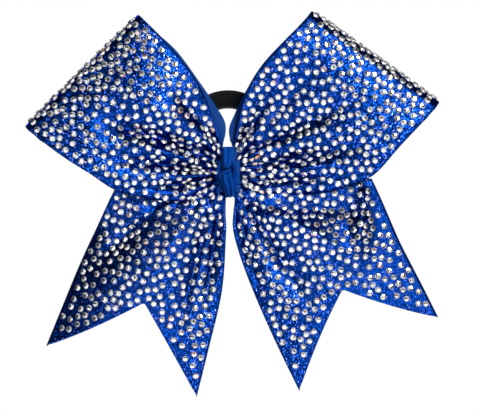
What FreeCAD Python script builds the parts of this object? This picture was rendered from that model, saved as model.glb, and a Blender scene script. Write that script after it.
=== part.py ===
import FreeCAD, Part
import math
import os
import random
import re

import Sketcher

# Cheer hair bow: one strip of three inch ribbon, folded into two loops and two notched tails, gathered
# and tied at the middle, wrapped by a knotted centre ribbon that also holds a hair elastic.
#
# The bow stands upright as it is worn: X runs to the right across it, Z up, and its front faces -Y.
# The origin is the middle of the flat back of the centre band, which lies on the hair.
# All sizes are in millimetres and live in the spreadsheet "Dimensions".

DIMENSIONS = [
    # ribbon: a plain grosgrain backing under a glitter face
    ("backing_thick", 0.8),
    ("glitter_thick", 0.4),
    # centre band, wrapped round the gather in the YZ plane
    ("band_width", 10.6),
    ("band_height", 24.5),
    ("band_depth", 15.6),
    ("band_thick", 0.8),
    ("band_corner", 5.0),
    # knot tied in the front of the centre ribbon
    ("knot_depth", 6.5),
    ("knot_lobe_width", 11.4),
    ("knot_lobe_height", 14.0),
    ("knot_lobe_rise", 5.4),
    ("knot_fold_width", 7.0),
    ("knot_fold_length", 17.0),
    ("knot_fold_tilt", 35.0),
    # gathered ribbon inside the band, and the thread that pinches it
    ("gather_depth", 6.2),
    ("gather_length", 11.2),
    ("pleat_depth", 1.1),
    ("pleat_width", 1.0),
    ("pleat_pitch", 3.4),
    ("pleat_count", 6),
    ("thread_dia", 0.7),
    ("thread_corner", 2.9),
    ("thread_clear", 0.25),
    ("thread_pitch", 0.77),
    ("thread_turns", 4),
    ("glue_clear", 0.5),
    # hair elastic: a squeezed run through the band, then a ring that leans back
    ("elastic_width", 8.9),
    ("elastic_depth", 6.4),
    ("elastic_round", 2.2),
    ("elastic_squeezed", 5.6),
    ("elastic_squeezed_round", 2.75),
    ("elastic_straight", 8.5),
    ("elastic_corner_radius", 7.0),
    ("elastic_ring_radius", 19.0),
    ("elastic_lean", 10.0),
    ("elastic_pivot_back", 3.9),
    ("elastic_pivot_height", 0.7),
    # loops: depth in front of the back of the band, and the roll at the outer end
    ("loop_neck_depth", 3.4),
    ("loop_neck_middle", 11.0),
    ("loop_shoulder_front", 22.0),
    ("loop_front", 27.5),
    ("loop_back", 8.8),
    ("loop_cut_margin", 1.0),
    # left loop: the low and high end of the ribbon's width at the neck, shoulder, belly and fold
    ("left_neck_low_x", -6.6),
    ("left_neck_low_z", -8.4),
    ("left_neck_high_x", -6.6),
    ("left_neck_high_z", 12.0),
    ("left_shoulder_low_x", -24.0),
    ("left_shoulder_low_z", -8.4),
    ("left_shoulder_high_x", -9.5),
    ("left_shoulder_high_z", 33.0),
    ("left_belly_low_x", -56.0),
    ("left_belly_low_z", -7.4),
    ("left_belly_high_x", -24.0),
    ("left_belly_high_z", 56.0),
    ("left_fold_low_x", -97.9),
    ("left_fold_low_z", 22.0),
    ("left_fold_high_x", -43.3),
    ("left_fold_high_z", 76.0),
    # right loop: the same four lines
    ("right_neck_low_x", 6.6),
    ("right_neck_low_z", -8.4),
    ("right_neck_high_x", 6.6),
    ("right_neck_high_z", 12.0),
    ("right_shoulder_low_x", 27.0),
    ("right_shoulder_low_z", -8.4),
    ("right_shoulder_high_x", 8.8),
    ("right_shoulder_high_z", 36.0),
    ("right_belly_low_x", 60.0),
    ("right_belly_low_z", -6.6),
    ("right_belly_high_x", 22.0),
    ("right_belly_high_z", 59.0),
    ("right_fold_low_x", 101.9),
    ("right_fold_low_z", 33.8),
    ("right_fold_high_x", 40.4),
    ("right_fold_high_z", 77.7),
    # tails: they hang in a plane between the two layers of the loops, below the flex line
    ("tail_front", 11.6),
    ("tail_top", -9.8),
    ("tail_under_band", -14.0),
    ("tail_notch_round", 2.0),
    ("left_tail_neck_x", -6.2),
    ("left_tail_shoulder_x", -54.8),
    ("left_tail_outer_tip_x", -87.8),
    ("left_tail_outer_tip_z", -83.7),
    ("left_tail_notch_x", -39.0),
    ("left_tail_notch_z", -63.0),
    ("left_tail_inner_tip_x", -15.2),
    ("left_tail_inner_tip_z", -109.0),
    ("left_tail_inner_bend_x", -1.4),
    ("left_tail_inner_bend_z", -36.0),
    ("left_tail_inner_top_x", -1.4),
    ("right_tail_neck_x", 6.2),
    ("right_tail_shoulder_x", 70.8),
    ("right_tail_outer_tip_x", 102.1),
    ("right_tail_outer_tip_z", -70.5),
    ("right_tail_notch_x", 55.3),
    ("right_tail_notch_z", -56.5),
    ("right_tail_inner_tip_x", 34.6),
    ("right_tail_inner_tip_z", -106.2),
    ("right_tail_inner_bend_x", 3.0),
    ("right_tail_inner_bend_z", -32.0),
    ("right_tail_inner_top_x", 3.0),
    # flat backed stones, size SS12
    ("stone_dia", 3.1),
    ("stone_table_dia", 1.8),
    ("stone_height", 1.2),
    ("stone_sides", 8),
    ("stone_spacing", 3.3),
    ("stone_edge", 2.4),
    ("stone_glue_gap", 0.05),
    ("stone_neck_clear", 9.0),
]

ALIASES = {alias for alias, value in DIMENSIONS}
STATIONS = ("neck", "shoulder", "belly")
UP_FROM_PLANE = FreeCAD.Vector(0, 0, 1)
STONE_TRIES = 12000
STONE_SEED = 12
AREA_STEPS = 6
ROLL_FROM = 8.0
ROLL_TO = 78.0

doc = FreeCAD.newDocument("CheerHairBow")


# ---------------------------------------------------------------- spreadsheet

def fill_sheet():
    """One row for each driving dimension: its name, its value and its alias."""
    sheet = doc.addObject("Spreadsheet::Sheet", "Dimensions")
    for row, (alias, value) in enumerate(DIMENSIONS, start=1):
        sheet.set(f"A{row}", alias)
        sheet.set(f"B{row}", str(value))
        sheet.setAlias(f"B{row}", alias)
    doc.recompute()
    return sheet


SHEET = fill_sheet()


def size(alias):
    """The value of one cell, for the few shapes that are set from code."""
    return float(getattr(SHEET, alias))


def bind(item, **links):
    """Bind properties to the sheet. A double underscore in a key stands for a dot."""
    for key, text in links.items():
        item.setExpression(key.replace("__", "."), text)


def cell(text):
    """Spell every alias in a formula with the sheet's name, so formulas stay short below."""
    return re.sub(r"[a-z_]+[a-z_0-9]*", sheet_word, text)


def value_of(formula):
    """The number that a formula gives now."""
    result = SHEET.evalExpression(cell(formula))
    return float(getattr(result, "Value", result))


def sheet_word(found):
    word = found.group(0)
    return f"Dimensions.{word}" if word in ALIASES else word


def primitive(kind, name, **links):
    item = doc.addObject(f"Part::{kind}", name)
    bind(item, **{key: cell(text) for key, text in links.items()})
    return item


def turn(item, axis, angle):
    """Turn an object about a fixed axis by a formula in degrees."""
    item.Placement = FreeCAD.Placement(item.Placement.Base, FreeCAD.Rotation(FreeCAD.Vector(*axis), 1))
    item.setExpression("Placement.Rotation.Angle", cell(angle))


def cut(name, base, tool):
    item = doc.addObject("Part::Cut", name)
    item.Base = base
    item.Tool = tool
    return item


def common(name, first, second):
    item = doc.addObject("Part::MultiCommon", name)
    item.Shapes = [first, second]
    return item


def fuse(name, shapes):
    item = doc.addObject("Part::MultiFuse", name)
    item.Shapes = shapes
    return item


def label(item, node):
    """Name a finished sub-part. The label is also the name of its file."""
    item.Label = node
    return item


# ---------------------------------------------------------------- sketches

def sketch_on(body, name, role):
    sketch = body.newObject("Sketcher::SketchObject", name)
    plane = [feature for feature in body.Origin.OriginFeatures if feature.Role == role][0]
    sketch.AttachmentSupport = [(plane, "")]
    sketch.MapMode = "FlatFace"
    return sketch


def dimension(sketch, kind, *place, formula):
    index = sketch.addConstraint(Sketcher.Constraint(kind, *place, value_of(formula)))
    sketch.setExpression(f"Constraints[{index}]", cell(formula))


def corner_outline(sketch, corners):
    """A closed outline of straight lines whose corners sit at formulas for x and y."""
    count = len(corners)
    points = [FreeCAD.Vector(value_of(across), value_of(up), 0) for across, up in corners]
    for start, end in zip(points, points[1:] + points[:1]):
        sketch.addGeometry(Part.LineSegment(start, end), False)
    for index in range(count):
        sketch.addConstraint(Sketcher.Constraint("Coincident", index, 2, (index + 1) % count, 1))
    for index, (across, up) in enumerate(corners):
        dimension(sketch, "DistanceX", -1, 1, index, 1, formula=across)
        dimension(sketch, "DistanceY", -1, 1, index, 1, formula=up)


def rounded_outline(sketch, left, right, low, high, radius):
    """A rectangle with four equal round corners, between four formulas for its sides."""
    start = len(sketch.Geometry)
    west, east = value_of(left), value_of(right)
    south, north = value_of(low), value_of(high)
    bend = value_of(radius)
    lines = [
        ((west + bend, south), (east - bend, south)),
        ((east, south + bend), (east, north - bend)),
        ((east - bend, north), (west + bend, north)),
        ((west, north - bend), (west, south + bend)),
    ]
    centres = [(east - bend, south + bend), (east - bend, north - bend)]
    centres += [(west + bend, north - bend), (west + bend, south + bend)]
    for first, last in lines:
        line = Part.LineSegment(FreeCAD.Vector(*first, 0), FreeCAD.Vector(*last, 0))
        sketch.addGeometry(line, False)
    for index, centre in enumerate(centres):
        circle = Part.Circle(FreeCAD.Vector(*centre, 0), FreeCAD.Vector(0, 0, 1), bend)
        begin = (index - 1) * math.pi / 2
        sketch.addGeometry(Part.ArcOfCircle(circle, begin, begin + math.pi / 2), False)
    for index in range(4):
        line = start + index
        arc = start + 4 + index
        following = start + (index + 1) % 4
        sketch.addConstraint(Sketcher.Constraint("Tangent", line, 2, arc, 1))
        sketch.addConstraint(Sketcher.Constraint("Tangent", arc, 2, following, 1))
    for index in (1, 2, 3):
        sketch.addConstraint(Sketcher.Constraint("Equal", start + 4, start + 4 + index))
    sketch.addConstraint(Sketcher.Constraint("Horizontal", start))
    sketch.addConstraint(Sketcher.Constraint("Vertical", start + 1))
    sketch.addConstraint(Sketcher.Constraint("Horizontal", start + 2))
    dimension(sketch, "DistanceY", -1, 1, start, 1, formula=low)
    dimension(sketch, "DistanceX", -1, 1, start + 1, 1, formula=right)
    dimension(sketch, "DistanceY", -1, 1, start + 2, 1, formula=high)
    dimension(sketch, "DistanceX", -1, 1, start + 3, 1, formula=left)
    dimension(sketch, "Radius", start + 4, formula=radius)


# ---------------------------------------------------------------- loops

def line_angle(side, station):
    """Formula for the slope of a line across the ribbon, from its low end to its high end."""
    line = f"{side}_{station}"
    return f"atan2({line}_high_z - {line}_low_z; {line}_high_x - {line}_low_x)"


def line_length(side, station):
    line = f"{side}_{station}"
    return f"hypot({line}_high_x - {line}_low_x; {line}_high_z - {line}_low_z)"


def station_front(station):
    fronts = {
        "neck": "(loop_neck_middle + loop_neck_depth / 2)",
        "shoulder": "loop_shoulder_front",
        "belly": "loop_front",
        "fold": "loop_front",
    }
    return fronts[station]


def station_back(station):
    return "(loop_neck_middle - loop_neck_depth / 2)" if station == "neck" else "loop_back"


def section(side, station, layer, inset, margin):
    """A flat rectangle across the loop: the ribbon's width by the depth from front to back layer."""
    angle = line_angle(side, station)
    inward = "1" if side == "left" else "-1"
    roll = "(loop_front - loop_back) / 2" if station == "fold" else "0"
    line = f"{side}_{station}"
    plane = primitive(
        "Plane", f"{line}_{layer}_section",
        Length=f"{line_length(side, station)} + 2 * {margin}",
        Width=f"{station_front(station)} - {station_back(station)} - 2 * {inset}",
    )
    turn(plane, (0, -1, 0), angle)
    along_x = f"{line}_low_x - {margin} * cos({angle})"
    along_z = f"{line}_low_z - {margin} * sin({angle})"
    bind(
        plane,
        Placement__Base__x=cell(f"{along_x} + {inward} * {roll} * sin({angle})"),
        Placement__Base__y=cell(f"{inset} - {station_front(station)}"),
        Placement__Base__z=cell(f"{along_z} - {inward} * {roll} * cos({angle})"),
    )
    return plane


def fold_roll(side, layer, inset, margin):
    """The round turn at the outer end of a loop: half a cylinder along the fold line."""
    angle = line_angle(side, "fold")
    half = primitive(
        "Cylinder", f"{side}_{layer}_half_round",
        Radius=f"(loop_front - loop_back) / 2 - {inset}",
        Height=f"{line_length(side, 'fold')} + 2 * {margin}",
    )
    half.Angle = 180
    quarter = 90 if side == "left" else -90
    half.Placement.Rotation = FreeCAD.Rotation(UP_FROM_PLANE, quarter)
    roll = doc.addObject("Part::Compound", f"{side}_{layer}_roll")
    roll.Links = [half]
    turn(roll, (0, 1, 0), f"90 deg - {angle}")
    section_name = f"{side}_fold_{layer}_section"
    bind(
        roll,
        Placement__Base__x=f"{section_name}.Placement.Base.x",
        Placement__Base__y=cell("(0 - loop_front - loop_back) / 2"),
        Placement__Base__z=f"{section_name}.Placement.Base.z",
    )
    return roll


def loop_envelope(side, layer, inset, margin):
    """The solid inside one layer of a loop: sections joined by ruled faces, and the round end."""
    stations = STATIONS + ("fold",)
    sections = [section(side, station, layer, inset, margin) for station in stations]
    loft = doc.addObject("Part::Loft", f"{side}_{layer}_loft")
    loft.Sections = sections
    loft.Solid = True
    loft.Ruled = True
    return fuse(f"{side}_{layer}_envelope", [loft, fold_roll(side, layer, inset, margin)])


def folded_loop(side):
    """The glitter face and the grosgrain backing of one loop, each folded over its outer end."""
    outer = loop_envelope(side, "outer", "0", "0")
    middle = loop_envelope(side, "middle", "glitter_thick", "loop_cut_margin")
    hollow_inset = "(glitter_thick + backing_thick)"
    hollow = loop_envelope(side, "hollow", hollow_inset, "loop_cut_margin")
    glitter = cut(f"{side}_loop_face", outer, middle)
    backing_block = common(f"{side}_loop_block", outer, middle)
    backing = cut(f"{side}_loop_back", backing_block, hollow)
    return [label(backing, f"{side}_loop_backing"), label(glitter, f"{side}_loop_glitter")]


# ---------------------------------------------------------------- tails

def tail_corners(side):
    tail = f"{side}_tail"
    return [
        (f"{tail}_neck_x", "tail_top"),
        (f"{tail}_shoulder_x", "tail_top"),
        (f"{tail}_outer_tip_x", f"{tail}_outer_tip_z"),
        (f"{tail}_notch_x", f"{tail}_notch_z"),
        (f"{tail}_inner_tip_x", f"{tail}_inner_tip_z"),
        (f"{tail}_inner_bend_x", f"{tail}_inner_bend_z"),
        (f"{tail}_inner_top_x", "tail_under_band"),
        (f"{tail}_neck_x", "tail_under_band"),
    ]


def edge_along_depth(shape, across, up):
    """Name of the straight edge that runs front to back at one corner of a flat piece."""
    for number, edge in enumerate(shape.Edges, start=1):
        middle = edge.CenterOfMass
        runs_deep = abs(edge.tangentAt(edge.FirstParameter).y) > 0.99
        if runs_deep and abs(middle.x - across) < 0.1 and abs(middle.z - up) < 0.1:
            return f"Edge{number}"
    raise ValueError("no edge at that corner")


def tail_sheet(side, layer, thickness, front):
    """One flat layer of a tail, its swallowtail notch slightly rounded at the point."""
    body = doc.addObject("PartDesign::Body", f"{side}_tail_{layer}_body")
    sketch = sketch_on(body, f"{side}_tail_{layer}_outline", "XZ_Plane")
    corner_outline(sketch, tail_corners(side))
    pad = body.newObject("PartDesign::Pad", f"{side}_tail_{layer}_pad")
    pad.Profile = sketch
    pad.Reversed = True
    pad.setExpression("Length", cell(thickness))
    doc.recompute()
    notch = edge_along_depth(pad.Shape, size(f"{side}_tail_notch_x"), size(f"{side}_tail_notch_z"))
    rounding = body.newObject("PartDesign::Fillet", f"{side}_tail_{layer}_notch")
    rounding.Base = (pad, [notch])
    rounding.setExpression("Radius", cell("tail_notch_round"))
    sketch.Visibility = False
    body.setExpression("Placement.Base.y", cell(f"0 - {front}"))
    return label(body, f"{side}_tail_{layer}")


def tail(side):
    glitter = tail_sheet(side, "glitter", "glitter_thick", "tail_front")
    backing = tail_sheet(side, "backing", "backing_thick", "(tail_front - glitter_thick)")
    return [backing, glitter]


# ---------------------------------------------------------------- centre

def band():
    """The centre ribbon's wrap: a flat ring round the gather, open at both sides."""
    body = doc.addObject("PartDesign::Body", "band_body")
    sketch = sketch_on(body, "band_outline", "YZ_Plane")
    rounded_outline(
        sketch, "0 - band_depth", "0 * band_depth",
        "0 - band_height / 2", "band_height / 2", "band_corner",
    )
    rounded_outline(
        sketch, "band_thick - band_depth", "0 - band_thick",
        "band_thick - band_height / 2", "band_height / 2 - band_thick", "band_corner - band_thick",
    )
    pad = body.newObject("PartDesign::Pad", "band_pad")
    pad.Profile = sketch
    pad.Midplane = True
    pad.setExpression("Length", cell("band_width"))
    return label(body, "centre_band")


def knot_lobe(name, rise):
    """A full bulge of the knotted ribbon in front of the band."""
    return primitive(
        "Ellipsoid", name,
        Radius1="knot_lobe_height / 2", Radius2="knot_lobe_width / 2", Radius3="knot_depth",
        Placement__Base__y="0 - band_depth", Placement__Base__z=rise,
    )


def knot():
    """Two lobes and the diagonal turn between them, cut flat where they lie on the band."""
    top = knot_lobe("knot_top_lobe", "knot_lobe_rise")
    bottom = knot_lobe("knot_bottom_lobe", "0 - knot_lobe_rise")
    fold = primitive(
        "Ellipsoid", "knot_fold_turn",
        Radius1="knot_fold_length / 2", Radius2="knot_fold_width / 2", Radius3="knot_depth + glitter_thick",
        Placement__Base__y="0 - band_depth",
    )
    turn(fold, (0, 1, 0), "knot_fold_tilt")
    lump = fuse("knot_lump", [top, bottom, fold])
    trim = primitive(
        "Box", "knot_trim",
        Length="2 * band_width", Width="2 * knot_depth", Height="band_height",
        Placement__Base__x="0 - band_width", Placement__Base__y="0 - band_depth",
        Placement__Base__z="0 - band_height / 2",
    )
    return label(cut("knot_front", lump, trim), "centre_knot")


def gather_front():
    return "(band_depth - band_thick - thread_clear - thread_dia)"


def gather():
    """The bunched ribbon under the band: a flat bundle with a row of pleats on its front and back."""
    body = doc.addObject("PartDesign::Body", "gather_body")
    outline = sketch_on(body, "gather_outline", "YZ_Plane")
    half = "band_height / 2 - band_thick - thread_clear - thread_dia"
    rounded_outline(
        outline, f"0 - {gather_front()}", f"gather_depth - {gather_front()}",
        f"0 - ({half})", half, "thread_corner",
    )
    pad = body.newObject("PartDesign::Pad", "gather_pad")
    pad.Profile = outline
    pad.Midplane = True
    pad.setExpression("Length", cell("gather_length"))
    first_pleat = "0 - pleat_pitch * (pleat_count - 1) / 2"
    front = f"(0 - {gather_front()})"
    back = f"(gather_depth - {gather_front()})"
    for place, surface in (("front", front), ("back", back)):
        left = f"{surface} - pleat_depth"
        right = f"{surface} + pleat_depth"
        sketch = sketch_on(body, f"pleat_{place}_outline", "YZ_Plane")
        corner_outline(sketch, [
            (left, f"{first_pleat} - pleat_width / 2"),
            (right, f"{first_pleat} - pleat_width / 2"),
            (right, f"{first_pleat} + pleat_width / 2"),
            (left, f"{first_pleat} + pleat_width / 2"),
        ])
        groove = body.newObject("PartDesign::Pocket", f"pleat_{place}_groove")
        groove.Profile = sketch
        groove.Midplane = True
        groove.setExpression("Length", cell("2 * gather_length"))
        pleats = body.newObject("PartDesign::LinearPattern", f"pleat_{place}_row")
        pleats.Originals = [groove]
        pleats.Direction = (sketch, ["V_Axis"])
        pleats.setExpression("Length", cell("pleat_pitch * (pleat_count - 1)"))
        pleats.setExpression("Occurrences", cell("pleat_count"))
        body.Tip = pleats
        doc.recompute()
    return label(body, "gathered_ribbon")


def thread():
    """Turns of waxed thread pulled tight round the gather, side by side."""
    turns = []
    half = "(band_height / 2 - band_thick - thread_clear)"
    front = "(band_depth - band_thick - thread_clear)"
    back = f"({front} - gather_depth - 2 * thread_dia)"
    for number in range(int(size("thread_turns"))):
        body = doc.addObject("PartDesign::Body", f"thread_turn_{number}_body")
        path = sketch_on(body, f"thread_turn_{number}_outer", "YZ_Plane")
        rounded_outline(
            path, f"0 - {front}", f"0 - {back}", f"0 - {half}", half, "thread_corner + thread_dia")
        rounded_outline(
            path, f"thread_dia - {front}", f"0 - {back} - thread_dia",
            f"thread_dia - {half}", f"{half} - thread_dia", "thread_corner",
        )
        pad = body.newObject("PartDesign::Pad", f"thread_turn_{number}_pad")
        pad.Profile = path
        pad.Midplane = True
        pad.setExpression("Length", cell("thread_dia"))
        place = f"({number} - (thread_turns - 1) / 2) * thread_pitch"
        body.setExpression("Placement.Base.x", cell(place))
        turns.append(body)
    coil = doc.addObject("Part::Compound", "thread_coil")
    coil.Links = turns
    return label(coil, "cinch_thread")


def glue():
    """Two beads of hot glue behind the gather, above and below the elastic."""
    beads = []
    inner_height = "band_height / 2 - band_corner"
    above = "elastic_pivot_height + elastic_squeezed / 2 + glue_clear"
    below = "elastic_pivot_height - elastic_squeezed / 2 - glue_clear"
    back_of_thread = f"{gather_front()} - gather_depth - thread_dia"
    spans = (("upper", above, inner_height), ("lower", f"0 - ({inner_height})", below))
    for place, low, high in spans:
        bead = primitive(
            "Box", f"glue_{place}_bead",
            Length="band_width - 2 * band_thick",
            Width=f"{back_of_thread} - band_thick",
            Height=f"({high}) - ({low})",
            Placement__Base__x="band_thick - band_width / 2",
            Placement__Base__y=f"0 - ({back_of_thread})",
            Placement__Base__z=low,
        )
        beads.append(bead)
    pair = doc.addObject("Part::Compound", "glue_pair")
    pair.Links = beads
    return label(pair, "glue_beads")


# ---------------------------------------------------------------- hair elastic

def elastic_section(name, width, depth, radius):
    """A rounded rectangle: the elastic's section, its width in the plane of the ring."""
    body = doc.addObject("PartDesign::Body", f"{name}_body")
    sketch = sketch_on(body, name, "YZ_Plane")
    rounded_outline(
        sketch, f"0 - {depth} / 2", f"{depth} / 2", f"0 - {width} / 2", f"{width} / 2", radius)
    return sketch


def section_face(name, source, formulas):
    """A face made from a section sketch and set down at a place along the elastic."""
    face = doc.addObject("Part::Face", name)
    face.Sources = [source]
    bind(face, **{key: cell(text) for key, text in formulas.items()})
    return face


def hair_elastic():
    """A closed ring: a squeezed straight run through the band, two corner bends and the round ring."""
    full = elastic_section("elastic_full_section", "elastic_width", "elastic_depth", "elastic_round")
    squeezed = elastic_section(
        "elastic_squeezed_section", "elastic_squeezed", "elastic_squeezed", "elastic_squeezed_round")
    bend = "asin(elastic_straight / (elastic_ring_radius - elastic_corner_radius) )"
    faces = []
    for number, (source, place) in enumerate((
        (full, "0 - elastic_straight"),
        (squeezed, "0 - gather_length / 2"),
        (squeezed, "gather_length / 2"),
        (full, "elastic_straight"),
    )):
        face = section_face(f"elastic_run_face_{number}", source, {"Placement__Base__x": place})
        faces.append(face)
    run = doc.addObject("Part::Loft", "elastic_run")
    run.Sections = faces
    run.Solid = True
    run.Ruled = True
    corner_right = doc.addObject("Part::Revolution", "elastic_right_corner")
    corner_right.Source = faces[3]
    corner_right.Axis = FreeCAD.Vector(0, -1, 0)
    corner_right.Solid = True
    bind(
        corner_right,
        Base__x=cell("elastic_straight"), Base__z=cell("elastic_corner_radius"), Angle=cell(bend),
    )
    corner_left = doc.addObject("Part::Mirroring", "elastic_left_corner")
    corner_left.Source = corner_right
    corner_left.Normal = FreeCAD.Vector(1, 0, 0)
    reach = "(elastic_ring_radius - elastic_corner_radius)"
    ring_centre = f"(elastic_corner_radius + {reach} * cos({bend}) )"
    top_face = section_face(
        "elastic_top_face", full,
        {"Placement__Base__z": f"{ring_centre} + elastic_ring_radius"})
    ring = doc.addObject("Part::Revolution", "elastic_ring")
    ring.Source = top_face
    ring.Axis = FreeCAD.Vector(0, -1, 0)
    ring.Solid = True
    ring.Symmetric = True
    bind(ring, Base__z=cell(ring_centre), Angle=cell(f"360 deg - 2 * {bend}"))
    whole = fuse("elastic_whole", [run, corner_right, corner_left, ring])
    turn(whole, (-1, 0, 0), "elastic_lean * 1 deg")
    bind(
        whole,
        Placement__Base__y=cell("0 - elastic_pivot_back"),
        Placement__Base__z=cell("elastic_pivot_height"),
    )
    return label(whole, "hair_elastic")


# ---------------------------------------------------------------- stones

def across(side, station, share, clear=0.0):
    """A point on the front of a loop: a share of the way up one line across the ribbon."""
    line = f"{side}_{station}"
    low = FreeCAD.Vector(size(f"{line}_low_x"), 0, size(f"{line}_low_z"))
    high = FreeCAD.Vector(size(f"{line}_high_x"), 0, size(f"{line}_high_z"))
    point = low + (high - low) * share
    depths = {
        "neck": size("loop_neck_middle") + size("loop_neck_depth") / 2,
        "shoulder": size("loop_shoulder_front"),
        "belly": size("loop_front"),
        "fold": size("loop_front"),
    }
    point.y = -depths[station] - clear
    return point + fold_inset(side, station)


def fold_outward(side):
    """The direction square to the fold line, in the plane of the bow, away from the knot."""
    line = f"{side}_fold"
    run = size(f"{line}_high_x") - size(f"{line}_low_x")
    rise = size(f"{line}_high_z") - size(f"{line}_low_z")
    length = math.hypot(run, rise)
    sense = -1 if side == "left" else 1
    return FreeCAD.Vector(sense * rise / length, 0, -sense * run / length)


def fold_inset(side, station):
    if station != "fold":
        return FreeCAD.Vector()
    return fold_outward(side) * (-roll_radius())


def roll_radius():
    return (size("loop_front") - size("loop_back")) / 2


def patch_point(side, patch, along, share):
    """A point and its outward normal on one patch of a loop's front: three ruled, one rolled."""
    lines = STATIONS + ("fold",)
    if patch < 3:
        near = across(side, lines[patch], share)
        far = across(side, lines[patch + 1], share)
        point = near + (far - near) * along
        low = across(side, lines[patch], 0) * (1 - along) + across(side, lines[patch + 1], 0) * along
        high = across(side, lines[patch], 1) * (1 - along) + across(side, lines[patch + 1], 1) * along
        normal = (far - near).cross(high - low)
        if normal.y > 0:
            normal = normal * -1
        return point, normal.normalize()
    angle = math.radians(ROLL_FROM + (ROLL_TO - ROLL_FROM) * along)
    front = across(side, "fold", share)
    axis_point = FreeCAD.Vector(front.x, front.y + roll_radius(), front.z)
    normal = FreeCAD.Vector(0, -math.cos(angle), 0) + fold_outward(side) * math.sin(angle)
    return axis_point + normal * roll_radius(), normal


def loop_places(side, chance):
    """Random places on a loop's front, as many on each patch as its area calls for."""
    areas = []
    for patch in range(4):
        total = 0.0
        for row in range(AREA_STEPS):
            for column in range(AREA_STEPS):
                along = row / AREA_STEPS
                share = column / AREA_STEPS
                step = 1 / AREA_STEPS
                corner = patch_point(side, patch, along, share)[0]
                ahead = patch_point(side, patch, along + step, share)[0] - corner
                beside = patch_point(side, patch, along, share + step)[0] - corner
                total += ahead.cross(beside).Length
        areas.append(total)
    edge = size("stone_edge")
    for attempt in range(STONE_TRIES):
        patch = chance.choices(range(4), areas)[0]
        along = chance.random()
        share = chance.random()
        point, normal = patch_point(side, patch, along, share)
        low = patch_point(side, patch, along, 0)[0]
        high = patch_point(side, patch, along, 1)[0]
        if point.distanceToPoint(low) < edge or point.distanceToPoint(high) < edge:
            continue
        if abs(point.x) < size("stone_neck_clear"):
            continue
        yield point, normal


def tail_places(side, chance):
    """Random places on the front of a tail, inside its outline by the bare edge."""
    corners = []
    for across_name, up_name in tail_corners(side):
        corners.append(FreeCAD.Vector(size(across_name), -size("tail_front"), size(up_name)))
    box = FreeCAD.BoundBox()
    for corner in corners:
        box.add(corner)
    for attempt in range(STONE_TRIES):
        point = FreeCAD.Vector(
            chance.uniform(box.XMin, box.XMax), -size("tail_front"), chance.uniform(box.ZMin, box.ZMax))
        if not inside(point, corners) or edge_distance(point, corners) < size("stone_edge"):
            continue
        yield point, FreeCAD.Vector(0, -1, 0)


def inside(point, corners):
    """Whether a point of the tail's plane is inside its outline, by counting crossings."""
    crossings = 0
    for start, end in zip(corners, corners[1:] + corners[:1]):
        if (start.z > point.z) == (end.z > point.z):
            continue
        if point.x < start.x + (point.z - start.z) * (end.x - start.x) / (end.z - start.z):
            crossings += 1
    return crossings % 2 == 1


def edge_distance(point, corners):
    nearest = math.inf
    for start, end in zip(corners, corners[1:] + corners[:1]):
        run = end - start
        share = max(0.0, min(1.0, (point - start).dot(run) / run.dot(run)))
        nearest = min(nearest, point.distanceToPoint(start + run * share))
    return nearest


def spread(places):
    """Keep each place that is far enough from those kept before it."""
    pitch = size("stone_spacing")
    kept = []
    grid = {}
    for point, normal in places:
        key = tuple(int(value // pitch) for value in point)
        near = []
        for dx in (-1, 0, 1):
            for dy in (-1, 0, 1):
                for dz in (-1, 0, 1):
                    near += grid.get((key[0] + dx, key[1] + dy, key[2] + dz), [])
        if any(point.distanceToPoint(other) < pitch for other in near):
            continue
        grid.setdefault(key, []).append(point)
        kept.append((point, normal))
    return kept


def ring_of_corners(diameter, height):
    sides = int(size("stone_sides"))
    corners = []
    for number in range(sides + 1):
        angle = 2 * math.pi * (number % sides) / sides
        corners.append(
            FreeCAD.Vector(diameter / 2 * math.cos(angle), diameter / 2 * math.sin(angle), height))
    return Part.makePolygon(corners)


def stones(node, places, chance):
    """Flat backed stones as a group of separate solids, each square to the surface under it."""
    base = ring_of_corners(size("stone_dia"), 0)
    table = ring_of_corners(size("stone_table_dia"), size("stone_height"))
    stone = Part.makeLoft([base, table], True, True)
    solids = []
    for point, normal in spread(places):
        spin = FreeCAD.Rotation(UP_FROM_PLANE, chance.uniform(0, 360))
        stand = FreeCAD.Rotation(UP_FROM_PLANE, normal)
        placed = stone.copy()
        placed.Placement = FreeCAD.Placement(point + normal * size("stone_glue_gap"), stand.multiply(spin))
        solids.append(placed)
    group = doc.addObject("Part::Feature", f"{node}_group")
    group.Shape = Part.makeCompound(solids)
    group.Placement = FreeCAD.Placement()
    print(node, len(solids))
    return label(group, node)


# ---------------------------------------------------------------- the whole bow

def build():
    chance = random.Random(STONE_SEED)
    pieces = [band(), knot(), gather(), thread(), glue(), hair_elastic()]
    for side in ("left", "right"):
        pieces += folded_loop(side)
        pieces += tail(side)
        pieces.append(stones(f"{side}_loop_stones", loop_places(side, chance), chance))
        pieces.append(stones(f"{side}_tail_stones", tail_places(side, chance), chance))
    doc.recompute()
    return pieces


def check(pieces):
    for item in doc.Objects:
        if "Invalid" in item.State or "Error" in item.State:
            raise RuntimeError(f"{item.Name} failed: {item.State}")
    for piece in pieces:
        shape = piece.Shape
        if shape.isNull() or not shape.isValid() or not shape.Solids:
            raise RuntimeError(f"{piece.Label} has no valid solid")


def export(pieces):
    os.makedirs("parts", exist_ok=True)
    for piece in pieces:
        piece.Shape.exportStep(f"parts/{piece.Label}.step")
        box = piece.Shape.BoundBox
        print(
            f"{piece.Label:20s} solids {len(piece.Shape.Solids):4d} volume {piece.Shape.Volume:9.1f}"
            f"  x {box.XMin:7.1f} {box.XMax:7.1f}  y {box.YMin:6.1f} {box.YMax:6.1f}"
            f"  z {box.ZMin:7.1f} {box.ZMax:7.1f}"
        )


PIECES = build()
check(PIECES)
export(PIECES)
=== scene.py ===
import math
import random
from itertools import product

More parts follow.
